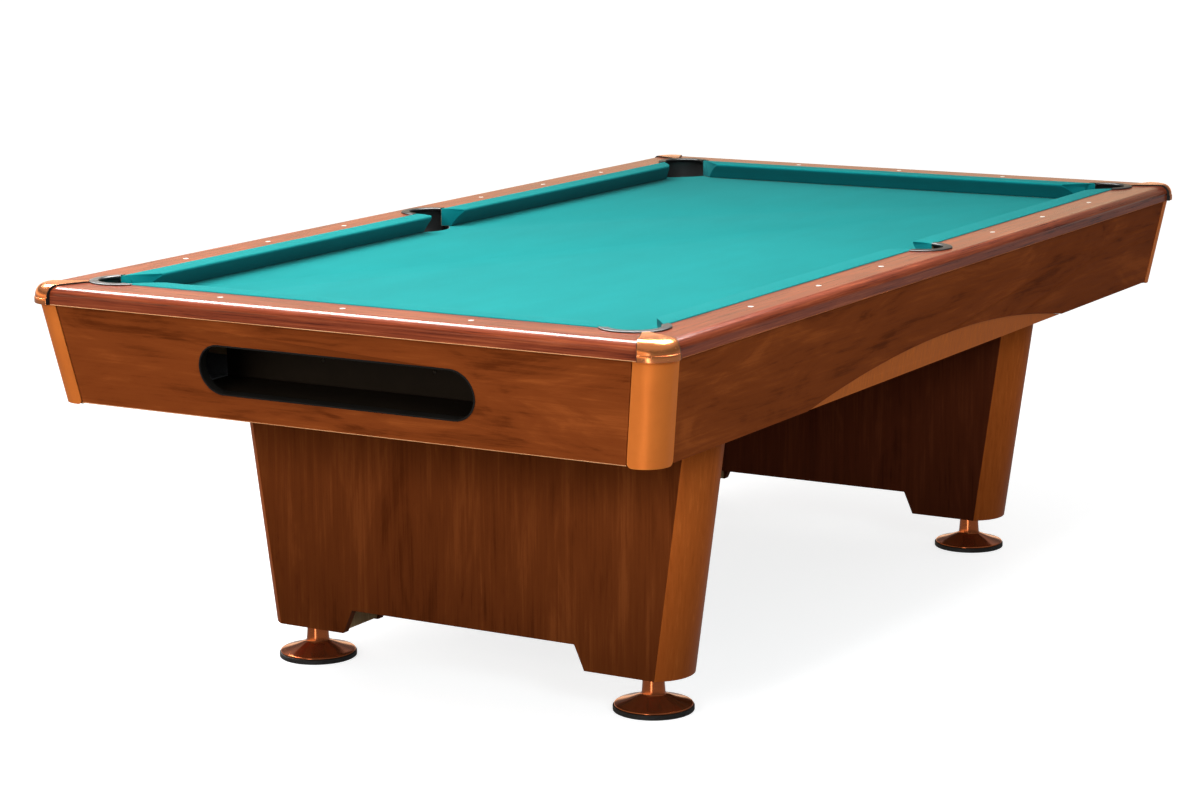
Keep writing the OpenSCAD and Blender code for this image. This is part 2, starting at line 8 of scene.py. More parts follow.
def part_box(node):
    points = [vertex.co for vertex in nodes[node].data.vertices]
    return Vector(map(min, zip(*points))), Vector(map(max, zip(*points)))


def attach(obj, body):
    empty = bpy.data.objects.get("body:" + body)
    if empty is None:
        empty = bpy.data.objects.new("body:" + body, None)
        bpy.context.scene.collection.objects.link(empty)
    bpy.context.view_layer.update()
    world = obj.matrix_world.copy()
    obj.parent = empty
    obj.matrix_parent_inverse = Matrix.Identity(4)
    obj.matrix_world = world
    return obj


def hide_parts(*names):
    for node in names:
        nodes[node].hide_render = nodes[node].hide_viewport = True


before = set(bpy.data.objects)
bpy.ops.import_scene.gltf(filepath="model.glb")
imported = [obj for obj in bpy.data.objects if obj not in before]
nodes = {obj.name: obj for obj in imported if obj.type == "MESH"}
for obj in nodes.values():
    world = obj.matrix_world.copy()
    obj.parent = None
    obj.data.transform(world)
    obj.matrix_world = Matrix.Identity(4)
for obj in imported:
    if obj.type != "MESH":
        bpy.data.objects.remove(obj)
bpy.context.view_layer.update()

# ---------------------------------------------------------------- dimensions, in metres

MM = 0.001
HALF_X = 0.560              # cushion nose lines
HALF_Y = 1.120
RAIL_TOP = 0.823
BED = 0.785                 # top of the cloth
CUSHION_W = 0.052           # nose to wood
RAIL_W = 0.144              # nose to the rail's outer face
CORNER_NOSE_GAP = 0.086
CORNER_BACK_GAP = 0.024
SIDE_NOSE_GAP = 0.064
SIDE_BACK_GAP = 0.050
CORNER_IN = 0.014           # pocket centres, outwards from the nose lines
SIDE_IN = 0.048
LINER_R = 0.066
SLATE_OVER = 0.080

RIGHT, REAR, LEFT, FRONT = range(4)
SIDES = (RIGHT, REAR, LEFT, FRONT)
SIDE_NAMES = {RIGHT: "right", REAR: "rear", LEFT: "left", FRONT: "front"}
CORNERS = {"front_left": (-1, -1), "front_right": (1, -1),
           "rear_left": (-1, 1), "rear_right": (1, 1)}


def out_half(side):
    """Distance from the middle of the bed to the side's nose line."""
    return HALF_X if side in (RIGHT, LEFT) else HALF_Y


def along_half(side):
    """Half the length of the side's nose line."""
    return HALF_Y if side in (RIGHT, LEFT) else HALF_X


def side_point(side, u, v, z):
    """A point u outwards from the side's nose line, v along the side, at height z."""
    x, y = out_half(side) + u, v
    turn = side * math.pi / 2
    return Vector((x * math.cos(turn) - y * math.sin(turn),
                   x * math.sin(turn) + y * math.cos(turn), z))


def corner_point(sx, sy, u, v, z):
    """A point u and v past the nose lines that meet at a corner, at height z."""
    return Vector((sx * (HALF_X + u), sy * (HALF_Y + v), z))


# ---------------------------------------------------------------- node trees

class Tree:
    """A material's node tree, with short calls to add and join nodes."""

    def __init__(self, name):
        self.material = bpy.data.materials.new(name)
        self.material.use_nodes = True
        self.nodes = self.material.node_tree.nodes
        self.links = self.material.node_tree.links
        self.nodes.clear()
        self.output = self.nodes.new("ShaderNodeOutputMaterial")
        self.shader = self.nodes.new("ShaderNodeBsdfPrincipled")
        self.links.new(self.shader.outputs["BSDF"], self.output.inputs["Surface"])

    def socket(self, key):
        return self.shader.inputs[key.replace("_", " ").title().replace("Ior", "IOR")]

    def set(self, **values):
        for key, value in values.items():
            self.socket(key).default_value = value

    def add(self, kind, inputs=None, **settings):
        node = self.nodes.new("ShaderNode" + kind)
        for key, value in settings.items():
            setattr(node, key, value)
        for key, value in (inputs or {}).items():
            self.put(node.inputs[key], value)
        return node

    def put(self, socket, value):
        if isinstance(value, bpy.types.NodeSocket):
            self.links.new(value, socket)
        else:
            socket.default_value = value

    def mapped(self, vector, **settings):
        return self.add("Mapping", {"Vector": vector, **settings}).outputs["Vector"]

    def coords(self, scale=(1, 1, 1)):
        return self.mapped(self.add("TexCoord").outputs["Object"], Scale=scale)

    def axis(self, kind, output, letter):
        return self.add("SeparateXYZ", {0: self.add(kind).outputs[output]}).outputs[letter]

    def noise(self, vector, scale, detail=4.0, roughness=0.55, distortion=0.0):
        return self.add("TexNoise", {"Vector": vector, "Scale": scale, "Detail": detail,
                                     "Roughness": roughness,
                                     "Distortion": distortion}).outputs["Fac"]

    def ramp(self, value, stops, mode="LINEAR"):
        node = self.add("ValToRGB", {"Fac": value})
        node.color_ramp.interpolation = mode
        points = node.color_ramp.elements
        while len(points) < len(stops):
            points.new(0.5)
        for point, (at, color) in zip(points, stops):
            point.position = at
            point.color = (*color, 1) if len(color) == 3 else color
        return node.outputs["Color"]

    def mix(self, factor, a, b, blend="MIX"):
        node = self.add("Mix", data_type="RGBA", blend_type=blend)
        for socket, value in ((0, factor), (6, a), (7, b)):
            if isinstance(value, tuple) and len(value) == 3:
                value = (*value, 1)
            self.put(node.inputs[socket], value)
        return node.outputs[2]

    def math(self, operation, a, b=0.0, c=0.0):
        node = self.add("Math", operation=operation)
        for socket, value in zip(node.inputs, (a, b, c)):
            self.put(socket, value)
        return node.outputs[0]

    def remap(self, value, low, high, to_low, to_high):
        return self.add("MapRange", {"Value": value, "From Min": low, "From Max": high,
                                     "To Min": to_low, "To Max": to_high}).outputs[0]

    def bump(self, height, distance, strength):
        return self.add("Bump", {"Height": height, "Distance": distance,
                                 "Strength": strength}).outputs["Normal"]

    def join(self, **sockets):
        for key, value in sockets.items():
            self.put(self.socket(key), value)
        return self.material


def linear(red, green, blue):
    """Colour given as it looks on a screen, from 0 to 255."""
    def channel(c):
        c /= 255
        return c / 12.92 if c <= 0.04045 else ((c + 0.055) / 1.055) ** 2.4
    return channel(red), channel(green), channel(blue)


GRAIN_TURN = {"X": (0, 0, 0), "Y": (0, 0, -math.pi / 2), "Z": (0, math.pi / 2, 0)}


def wood(name, grain, dark, middle, light, figure=1.0, streak=0.3, lines=0.1, rough=0.45,
         coat=0.0, gleam=0.2, shift=(0, 0, 0), metallic=0.0, fine=1.0, foot=1.0):
    """Veneer with its grain along an axis: cloudy figure, wavy growth lines, streaks, fibres and
    pores. fine narrows the streaks, and foot paints shade on it, darker towards the floor."""
    t = Tree(name)
    # Everything is drawn with the grain along the texture's X axis
    where = t.mapped(t.add("TexCoord").outputs["Object"], Rotation=GRAIN_TURN[grain])
    where = t.mapped(where, Location=shift)

    def stretched(along, across):
        return t.mapped(where, Scale=(along, across, across))

    clouds = t.noise(stretched(2.6, 11), figure, 5, 0.6, 1.3)
    waves = t.noise(stretched(1.2, 8), figure, 2, 0.5, 0.8)
    growth = t.math("SINE", t.math("MULTIPLY_ADD", waves, 60.0, t.math("MULTIPLY", clouds, 9.0)))
    growth = t.remap(growth, -1, 1, 0, 1)
    streaks = t.noise(stretched(5, 170 * fine), 1.0, 4, 0.65)
    fibres = t.noise(stretched(45, 1100), 1.0, 3, 0.6)
    tone = t.math("MULTIPLY_ADD", streaks, streak, t.math("MULTIPLY", clouds, 1 - streak))
    tone = t.math("MULTIPLY_ADD", t.math("SUBTRACT", growth, 0.5), lines, tone)
    tone = t.math("MULTIPLY_ADD", t.math("SUBTRACT", fibres, 0.5), 0.16, tone)
    color = t.ramp(tone, [(0.32, dark), (0.50, middle), (0.68, light)], "EASE")
    pores = t.remap(fibres, 0.60, 0.74, 0.0, 0.35)
    color = t.mix(pores, color, tuple(c * 0.5 for c in dark))
    # Painted shade: the colour darkens towards the floor, down to foot times itself
    if foot < 1.0:
        low = t.remap(t.axis("TexCoord", "Object", "Z"), 0.10, 0.38, 1.0, 0.0)
        color = t.mix(low, color, t.mix(1.0, color, (foot, foot, foot), "MULTIPLY"))
    height = t.math("SUBTRACT", t.math("MULTIPLY", streaks, 0.4), pores)
    t.set(coat_weight=coat, coat_roughness=0.20, specular_ior_level=gleam, metallic=metallic)
    return t.join(base_color=color, roughness=t.remap(streaks, 0.3, 0.7, rough - 0.05, rough + 0.08),
                  normal=t.bump(height, 0.00005, 0.2 if coat else 0.6))


def metal(name, color, rough, brushed, wear=0.1, satin=0.0):
    """Brushed metal. brushed gives the fine scratches' frequency along x, y and z, wear the
    tint's unevenness, and satin takes some of the mirror out of it."""
    t = Tree(name)
    fine = t.noise(t.coords(brushed), 1.0, 3, 0.6)
    cloud = t.noise(t.coords(), 9.0, 4, 0.6)
    tint = t.mix(t.remap(cloud, 0.3, 0.7, 0, 1), tuple(c * (1 - wear) for c in color),
                 tuple(min(1, c * (1 + wear)) for c in color))
    t.set(metallic=1.0 - satin, specular_ior_level=0.1)
    roughness = t.math("ADD", t.remap(fine, 0.3, 0.7, rough - 0.04, rough + 0.06),
                       t.remap(cloud, 0.3, 0.7, -0.02, 0.03))
    return t.join(base_color=tint, roughness=roughness, normal=t.bump(fine, 0.00001, 0.2))


def cloth(name, color):
    """Worsted cloth: a fine plain weave under a short nap, with faint brushing and chalk. Painted
    shade darkens it and turns it bluer on steep faces, such as the cushions' faces."""
    t = Tree(name)
    thread = 0.0011
    where = t.add("TexCoord").outputs["Object"]
    warp, weft = [t.add("TexWave", {"Vector": where, "Scale": 0.05 / thread, "Distortion": 0.6,
                                    "Detail": 1.0, "Detail Scale": 2.0},
                        bands_direction=axis).outputs["Fac"] for axis in "XY"]
    threads = t.math("MULTIPLY", warp, weft)
    nap = t.noise(where, 800.0, 3, 0.7)
    brushed = t.noise(t.coords((14, 3, 14)), 1.0, 4, 0.6)
    cloud = t.noise(where, 3.2, 3, 0.5)
    shade = t.math("ADD", t.math("MULTIPLY", brushed, 0.5), t.math("MULTIPLY", cloud, 0.5))
    tint = t.mix(t.remap(shade, 0.35, 0.65, 0, 1), tuple(c * 0.93 for c in color),
                 tuple(min(1, c * 1.06) for c in color))
    tint = t.mix(t.remap(nap, 0.35, 0.7, 0, 0.45), tint, tuple(c * 0.72 for c in color))
    # Painted shade: steep faces, such as the cushions' faces, are made darker and bluer
    steep_painted_shade = t.remap(t.axis("NewGeometry", "Normal", "Z"), 0.0, 0.75, 1.0, 0.0)
    tint = t.mix(steep_painted_shade, tint, t.mix(1.0, tint, (0.35, 0.66, 0.74), "MULTIPLY"))
    height = t.math("MULTIPLY_ADD", threads, 0.5, nap)
    t.set(specular_ior_level=0.01, sheen_weight=0.05, sheen_roughness=0.5,
          sheen_tint=(0.75, 0.95, 0.95, 1))
    return t.join(base_color=tint, roughness=t.remap(nap, 0.3, 0.7, 0.82, 0.96),
                  normal=t.bump(height, 0.00012, 0.55))


def moulded(name, color, rough, grain=900.0, gleam=0.4):
    """Moulded plastic or rubber with a fine leathery skin."""
    t = Tree(name)
    skin = t.add("TexVoronoi", {"Vector": t.coords(), "Scale": grain}).outputs["Distance"]
    cloud = t.noise(t.coords(), 22.0, 4, 0.6)
    tint = t.mix(t.remap(cloud, 0.35, 0.7, 0, 1), tuple(c * 0.85 for c in color),
                 tuple(c * 1.2 for c in color))
    t.set(specular_ior_level=gleam)
    return t.join(base_color=tint,
                  roughness=t.remap(cloud, 0.3, 0.7, rough - 0.05, rough + 0.05),
                  normal=t.bump(skin, 0.00003, 0.5))


def mineral(name, dark, light, rough):
    """Stone in thin layers, with a fine grit."""
    t = Tree(name)
    layers = t.noise(t.coords((2, 6, 40)), 1.0, 6, 0.65, 0.8)
    grit = t.noise(t.coords(), 420.0, 3, 0.6)
    color = t.mix(layers, dark, light)
    color = t.mix(t.remap(grit, 0.3, 0.7, 0, 0.3), color, tuple(c * 0.6 for c in dark))
    return t.join(base_color=color, roughness=t.remap(grit, 0.3, 0.7, rough - 0.1, rough + 0.1),
                  normal=t.bump(grit, 0.00008, 0.5))


def pearl(name):
    """Mother-of-pearl: small cells of slightly different tints under a clear coat."""
    t = Tree(name)
    cells = t.noise(t.coords((300, 300, 300)), 1.0, 4, 0.6, 1.5)
    color = t.ramp(cells, [(0.3, (0.78, 0.77, 0.80)), (0.5, (0.90, 0.90, 0.86)),
                           (0.7, (0.80, 0.88, 0.86))])
    t.set(coat_weight=0.6, coat_roughness=0.06)
    return t.join(base_color=color, roughness=t.remap(cells, 0.3, 0.7, 0.22, 0.34),
                  normal=t.bump(cells, 0.00002, 0.3))


CHERRY = dict(dark=linear(90, 33, 17), middle=linear(137, 59, 31), light=linear(170, 84, 48))
APRON = dict(dark=linear(110, 49, 18), middle=linear(148, 71, 30), light=linear(174, 88, 39))
WALNUT = dict(dark=linear(106, 48, 18), middle=linear(132, 64, 27), light=linear(156, 80, 36))
# A darker copy of the walnut for the legs' inner panels: painted shade under the table
WALNUT_IN_PAINTED_SHADE = dict(dark=linear(90, 38, 20), middle=linear(112, 51, 28), light=linear(132, 64, 36))
BRONZE = dict(dark=linear(188, 92, 34), middle=linear(202, 102, 40), light=linear(216, 114, 48))
ARCH = dict(dark=linear(206, 103, 32), middle=linear(220, 114, 38), light=linear(234, 126, 46))
# Pale edging: partly real edge banding, partly a painted highlight along the lit edges; the left and
# right sides take a darker copy as painted shade
SHADED_EDGING = dict(dark=linear(140, 72, 34), middle=linear(160, 86, 42), light=linear(178, 100, 54))
EDGING_AND_HIGHLIGHT = dict(dark=linear(206, 140, 92), middle=linear(220, 156, 106),
              light=linear(232, 170, 120))
PLAIN = dict(dark=linear(150, 118, 80), middle=linear(186, 152, 108),
             light=linear(206, 176, 132))

rail_wood = {axis: wood("rail_wood_" + axis.lower(), axis, figure=0.8, streak=0.8, lines=0.05,
                        rough=0.30, coat=0.55, gleam=0.03, fine=1.6, **CHERRY) for axis in "XY"}
apron_wood = {axis: wood("apron_wood_" + axis.lower(), axis, streak=0.3, lines=0.05, rough=0.45,
                         gleam=0.01, shift=(0.3, 0.17, 0.4), **APRON) for axis in "XY"}
# The inner panels take the darker walnut copy as painted shade, and foot paints shade towards the
# floor
leg_wood = {face: wood("leg_wood_" + face, "Z", figure=0.8, streak=0.45, lines=0.06, rough=0.5,
                       gleam=0.02, foot=0.55, **tones)
            for face, tones in (("outer", WALNUT), ("inner", WALNUT_IN_PAINTED_SHADE))}
# Front and rear edgings are the pale, highlighted copy; left and right ones are the darker, shaded
# copy
edging_and_highlight = {"X": wood("edging_x", "X", gleam=0.05, **EDGING_AND_HIGHLIGHT),
          "Y": wood("edging_y", "Y", gleam=0.05, **SHADED_EDGING)}
timber = {axis: wood("timber_" + axis.lower(), axis, streak=0.5, rough=0.7, **PLAIN)
          for axis in "XYZ"}
# The cheeks and arch panels darken towards the floor through foot: painted shade
bronze = {use: wood("bronze_" + use, "Z", figure=0.5, streak=0.7, lines=0.0, rough=0.36,
                    gleam=0.03, metallic=0.25, foot=0.7, **tones)
          for use, tones in (("cheek", BRONZE), ("arch", ARCH))}
copper = metal("polished_copper", linear(236, 144, 88), 0.20, (90, 90, 300), 0.04, 0.12)
satin_copper = metal("satin_copper", linear(252, 136, 58), 0.46, (160, 160, 3), 0.09, 0.7)
foot_copper = metal("brushed_copper", linear(192, 104, 60), 0.14, (60, 60, 300), 0.1, 0.14)
teal = cloth("teal_cloth", linear(15, 127, 126))
liner_rubber = moulded("liner_rubber", (0.014, 0.014, 0.014), 0.34, 1100)
pad_rubber = moulded("pad_rubber", (0.012, 0.010, 0.009), 0.6)
black_plastic = moulded("black_plastic", (0.008, 0.007, 0.006), 0.4, 700, gleam=0.2)
box_board = moulded("box_board", (0.014, 0.0095, 0.006), 0.6, 260, gleam=0.12)
grey_plastic = moulded("grey_plastic", (0.10, 0.10, 0.105), 0.5, 600)
slate_stone = mineral("slate_stone", linear(70, 74, 80), linear(98, 102, 108), 0.7)
steel = metal("zinc_steel", linear(190, 190, 195), 0.35, (400, 400, 80))
black_screw = metal("blackened_screw", linear(70, 66, 60), 0.4, (400, 400, 80))
sight_pearl = pearl("sight_pearl")


# ---------------------------------------------------------------- mesh helpers

def piece(name, points, faces, material, body="table", sharp=40):
    """A smooth-shaded mesh with sharp edges above an angle, riding on a body."""
    mesh = bpy.data.meshes.new(name)
    mesh.from_pydata([tuple(p) for p in points], [], faces)
    mesh.validate()
    build = bmesh.new()
    build.from_mesh(mesh)
    bmesh.ops.recalc_face_normals(build, faces=build.faces)
    build.to_mesh(mesh)
    build.free()
    mesh.polygons.foreach_set("use_smooth", [True] * len(mesh.polygons))
    mesh.set_sharp_from_angle(angle=math.radians(sharp))
    mesh.materials.append(material)
    obj = bpy.data.objects.new(name, mesh)
    bpy.context.scene.collection.objects.link(obj)
    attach(obj, body)
    return obj


def soften(obj, width, angle):
    """Rounds the edges that turn by more than an angle."""
    edge = obj.modifiers.new("bevel", "BEVEL")
    edge.width = width
    edge.segments = 3
    edge.limit_method = "ANGLE"
    edge.angle_limit = math.radians(angle)
    edge.harden_normals = True


def dress(node, material, bevel=0.0):
    """Gives a CAD node its material, and softens its edges."""
    obj = nodes[node]
    obj.data.materials.clear()
    obj.data.materials.append(material)
    for polygon in obj.data.polygons:
        polygon.material_index = 0
    if bevel:
        weld = obj.modifiers.new("weld", "WELD")
        weld.merge_threshold = 0.00001
        soften(obj, bevel, 28)


def grid_faces(rows, columns, closed=False):
    """Quads of a grid of points, numbered row by row; closed joins each row's ends."""
    faces = []
    for low in range(0, (rows - 1) * columns, columns):
        high = low + columns
        for c in range(columns if closed else columns - 1):
            c1 = (c + 1) % columns
            faces.append((low + c, low + c1, high + c1, high + c))
    return faces


def in_mm(points):
    """An outline given in millimetres, in metres."""
    return [(a * MM, b * MM) for a, b in points]


def arc(centre, radius, start, end, steps):
    """Points of an arc in a plane, its angles in degrees."""
    angles = [math.radians(start + (end - start) * i / steps) for i in range(steps + 1)]
    return [(centre[0] + radius * math.cos(a), centre[1] + radius * math.sin(a))
            for a in angles]


def inset(section, distance):
    """The closed outline moved inwards (its points run anticlockwise)."""
    moved = []
    count = len(section)
    for i, (u, z) in enumerate(section):
        (u0, z0), (u1, z1) = section[i - 1], section[(i + 1) % count]
        along = Vector((u1 - u0, z1 - z0)).normalized()
        moved.append((u - along.y * distance, z + along.x * distance))
    return moved


def loft(name, rings, material, sharp=40):
    """Closed rings of points joined in a row, with both ends capped."""
    count = len(rings[0])
    points = [p for ring in rings for p in ring]
    faces = grid_faces(len(rings), count, closed=True)
    faces.append(tuple(range(count)))
    faces.append(tuple(range((len(rings) - 1) * count, len(rings) * count)))
    return piece(name, points, faces, material, sharp=sharp)


def lathe(name, place, section, material, body, steps=96, sharp=35):
    """A section of (radius, height) points turned round the Z axis of the frame place."""
    points, faces, rings = [], [], []
    for radius, z in section:
        if radius < 1e-6:
            rings.append([len(points)])
            points.append(place @ Vector((0, 0, z)))
            continue
        rings.append(list(range(len(points), len(points) + steps)))
        for k in range(steps):
            a = 2 * math.pi * k / steps
            points.append(place @ Vector((radius * math.cos(a), radius * math.sin(a), z)))
    for low, high in zip(rings, rings[1:]):
        for k in range(steps):
            k1 = (k + 1) % steps
            if len(low) == 1 and len(high) == 1:
                break
            if len(low) == 1:
                faces.append((low[0], high[k1], high[k]))
            elif len(high) == 1:
                faces.append((low[k], low[k1], high[0]))
            else:
                faces.append((low[k], low[k1], high[k1], high[k]))
    return piece(name, points, faces, material, body, sharp)


def rounding(radius, steps=4):
    """Pairs of distance from an edge and inset, for rings that round the edge."""
    angles = [math.pi / 2 * k / steps for k in range(steps + 1)]
    return [(radius * (1 - math.cos(a)), radius * (1 - math.sin(a))) for a in angles]


# ---------------------------------------------------------------- cushions

NOSE_ROUND = 0.0035
CUSHION_EDGE = 0.0022


def cushion_outline(to_bed=False):
    """Section of a cushion, anticlockwise: (outwards from the nose line, above the rail top)."""
    back = arc((49.4, -0.3), 2.3, 0, 80, 5)
    crown = [(48.5 - 42 * k / 10, 2.0 + 0.8 * math.sin(math.pi * k / 10)) for k in range(11)]
    nose = arc((4.0, -2.1), 3.9, 98, 214, 12)
    under = [(1.4 + 26.6 * t + 1.3 * math.sin(math.pi * t), -5.0 - 30.8 * t)
             for t in (0.15, 0.35, 0.55, 0.75, 0.92, 1.0)]
    foot = [(29.3, -37.5), (51.7, -37.7)] if to_bed else [(29.3, -37.5), (30.8, -37.5), (42.6, -0.9)]
    return in_mm(back + crown + nose + under + foot)


def cushion_end(u, nose_gap, back_gap):
    """Gap at a cushion's end, at u from the nose line; the nose corner is rounded off."""
    corner = max(0.0, 1 - u / 0.008)
    return nose_gap + (back_gap - nose_gap) * u / CUSHION_W + NOSE_ROUND * corner ** 2


def facing_stretch(nose_gap, back_gap):
    """Distance along the side for each unit square to a cushion's end face."""
    return math.hypot(1, (nose_gap - back_gap) / CUSHION_W)


def cushion_spans(side):
    """Each cushion of a side: name ending, and (sign of its end, distance, gaps) twice."""
    corner = (CORNER_NOSE_GAP, CORNER_BACK_GAP)
    pocket = (SIDE_NOSE_GAP, SIDE_BACK_GAP)
    name = SIDE_NAMES[side]
    far = along_half(side)
    if side in (FRONT, REAR):
        return [(name, (-far, 1, corner), (far, -1, corner))]
    low, high = ("front", "rear") if side == RIGHT else ("rear", "front")
    return [(name + "_" + low, (-far, 1, corner), (0.0, -1, pocket)),
            (name + "_" + high, (0.0, 1, pocket), (far, -1, corner))]


def end_place(end, u, back):
    """Place along the side of a cushion's end face at u, set back square to the face."""
    place, sign, gaps = end
    return place + sign * (cushion_end(u, *gaps) + back * facing_stretch(*gaps))


def make_cushion(side, name, start, finish):
    """Cloth-covered rubber: its section runs along the side, slightly uneven on top, and its
    ends are cut at an angle and rounded."""
    section = cushion_outline()
    ends = rounding(CUSHION_EDGE)
    rings = []

    def ring(outline, place):
        rings.append([side_point(side, u, place(u0), RAIL_TOP + z)
                      for (u, z), (u0, _) in zip(outline, section)])

    for back, depth in ends:
        ring(inset(section, depth), lambda u: end_place(start, u, back))
    steps = int(abs(finish[0] - start[0]) / 0.024)
    for k in range(1, steps):
        t = k / steps
        wave = 0.00016 * noise.noise(Vector((side * 7.1, t * steps * 0.55, 0.0)))
        swollen = [(u, z + wave * (1 if z > -0.001 else 0)) for u, z in section]
        ring(swollen, lambda u: (1 - t) * end_place(start, u, CUSHION_EDGE)
             + t * end_place(finish, u, CUSHION_EDGE))
    for back, depth in reversed(ends):
        ring(inset(section, depth), lambda u: end_place(finish, u, back))
    cushion = loft("cushion_" + name + "_shaped", rings, teal, sharp=60)
    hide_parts("cushion_" + name)
    for label, end in (("start", start), ("end", finish)):
        make_facing(side, name + "_" + label, end)


def make_facing(side, name, end):
    """The cloth-covered facing glued over a cushion's end, down to the bed."""
    section = cushion_outline(to_bed=True)
    rings = []
    for back, depth in rounding(0.0016, 3) + [(0.0045, 0.0)]:
        outline = inset(section, depth - 0.00012)
        rings.append([side_point(side, u, end_place(end, u0, back - 0.0009), RAIL_TOP + z)
                      for (u, z), (u0, _) in zip(outline, section)])
    facing = loft("cushion_facing_" + name, rings, teal, sharp=60)


# ---------------------------------------------------------------- bed cloth

FOLD_R = 0.003
FOLD_DEPTH = 0.014
CUT_R = 0.067               # a corner cut-out: its circle, and the flatter arc of its mouth
MOUTH_IN = 0.115
MOUTH_R = 0.150
SIDE_CUT_IN = 0.088
SIDE_CUT_R = 0.076


def angle_between(a, b, opposite):
    """Angle in degrees between two sides of a triangle."""
    return math.degrees(math.acos((a * a + b * b - opposite * opposite) / (2 * a * b)))


def edge_angle(centre_in, radius):
    """Angle in degrees at which a cut-out's circle meets the slate's edge."""
    return math.degrees(math.acos((SLATE_OVER - centre_in) / radius))


def corner_cut():
    """Edge of the bed at a corner pocket, in (outwards, past the corner), each point with its
    circle's centre: two arcs of the pocket circle, and a flatter arc across the mouth."""
    pocket, wide = (CORNER_IN, CORNER_IN), (MOUTH_IN, MOUTH_IN)
    apart = (MOUTH_IN - CORNER_IN) * math.sqrt(2)
    meeting = 45 - angle_between(apart, CUT_R, MOUTH_R)
    spread = angle_between(apart, MOUTH_R, CUT_R)
    leg = [(p, pocket) for p in arc(pocket, CUT_R, -edge_angle(CORNER_IN, CUT_R), meeting, 8)]
    mouth = [(p, wide) for p in arc(wide, MOUTH_R, 225 + spread, 225 - spread, 28)]
    return leg + mouth[1:-1] + [((v, u), c) for (u, v), c in reversed(leg)]


def side_cut():
    """The same at a side pocket, in (outwards, along the side)."""
    centre = (SIDE_CUT_IN, 0.0)
    reach = edge_angle(SIDE_CUT_IN, SIDE_CUT_R)
    return [(p, centre) for p in arc(centre, SIDE_CUT_R, 360 - reach, reach, 40)]


def make_bed_cloth():
    """One stretched sheet, whose edges turn down into the pocket cut-outs."""
    edge = []                                     # (point, towards the hole's centre, hole)

    def add(side, cut, v_shift):
        for (u, v), (cu, cv) in cut:
            place = side_point(side, u, v + v_shift, BED)
            centre = side_point(side, cu, cv + v_shift, BED)
            edge.append((place, (centre - place).normalized(), (side, v_shift)))

    for side in SIDES:
        if side in (RIGHT, LEFT):
            add(side, side_cut(), 0.0)
        add(side, corner_cut(), along_half(side))
    count = len(edge)
    profile = [(-FOLD_R * (1 - math.sin(a)), FOLD_R * (1 - math.cos(a)))
               for a in (math.pi / 2 * k / 4 for k in range(5))] + [(0.0, FOLD_DEPTH)]
    points = [place + towards * out - Vector((0, 0, drop))
              for out, drop in profile for place, towards, _ in edge]
    faces = [tuple(range(count))]
    for row in range(len(profile) - 1):
        for k in range(count):
            k1 = (k + 1) % count
            if edge[k][2] == edge[k1][2]:
                a, b = row * count, (row + 1) * count
                faces.append((a + k, b + k, b + k1, a + k1))
    sheet = piece("bed_cloth_stretched", points, faces, teal, sharp=50)
    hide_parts("bed_cloth")


# ---------------------------------------------------------------- pocket liners

def liner_outline(funnel_r, funnel_z):
    """Section of a liner: (radius, above the rail top), round the flange and down the wall."""
    flange = (arc((64.4, 1.1), 1.6, -60, 90, 6) + [(60.5, 3.0), (55.0, 3.1)]
              + arc((50.2, 0.2), 3.0, 80, 200, 8))
    lip = [(48.6, -2.6), (51.5, -4.0), (56.0, -4.6), (58.1, -6.2), (58.5, -9.0)]
    wall = [(58.5, -36.8), (58.5, -39.2), (58.5, -60.0), (funnel_r, funnel_z),
            (funnel_r + 3, funnel_z), (61.9, -61.6), (61.9, -39.2), (61.9, -36.8), (61.9, -2.2)]
    return in_mm(flange + lip + wall)


def make_liner(name, place, reach, outline):
    """place(radius, angle, height) puts a point of the outline swept round the pocket, and
    reach(radius, height above the rail top) is how far the sweep goes to either side."""
    steps = 56
    rings = [[place(r, (2 * k / steps - 1) * reach(r, z), RAIL_TOP + z) for r, z in outline]
             for k in range(steps + 1)]
    liner = loft("pocket_liner_" + name + "_shaped", rings, liner_rubber, sharp=50)
    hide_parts("pocket_liner_" + name)


def make_liners():
    """The liners' flanges lie on the wood, up to the cushions."""
    middle = CORNER_IN * math.sqrt(2)             # pocket centre, along the diagonal
    mouth = (CUSHION_W - CORNER_BACK_GAP) / math.sqrt(2) + 0.0005
    funnel_mouth = 0.0286                         # below the bed, along the diagonal too
    wood_line = CUSHION_W + 0.0003

    def corner_reach(r, z):
        if z < BED - RAIL_TOP:
            return math.acos(min(1, (funnel_mouth - middle) / r))
        facing = math.acos((mouth - middle) / r)
        over_wood = math.acos(min(1.0, (wood_line - CORNER_IN) / r)) + math.pi / 4
        return max(facing, over_wood)

    def side_reach(r, z):
        return math.acos((wood_line - SIDE_IN) / r)

    for name, (sx, sy) in CORNERS.items():
        def place(r, angle, z, sx=sx, sy=sy):
            a = math.pi / 4 + angle
            return corner_point(sx, sy, CORNER_IN + r * math.cos(a), CORNER_IN + r * math.sin(a), z)
        make_liner(name, place, corner_reach, liner_outline(48, -86))
    for side in (LEFT, RIGHT):
        def place(r, angle, z, side=side):
            return side_point(side, SIDE_IN + r * math.cos(angle), r * math.sin(angle), z)
        make_liner("side_" + SIDE_NAMES[side], place, side_reach, liner_outline(32, -100))


# ---------------------------------------------------------------- corner castings and posts

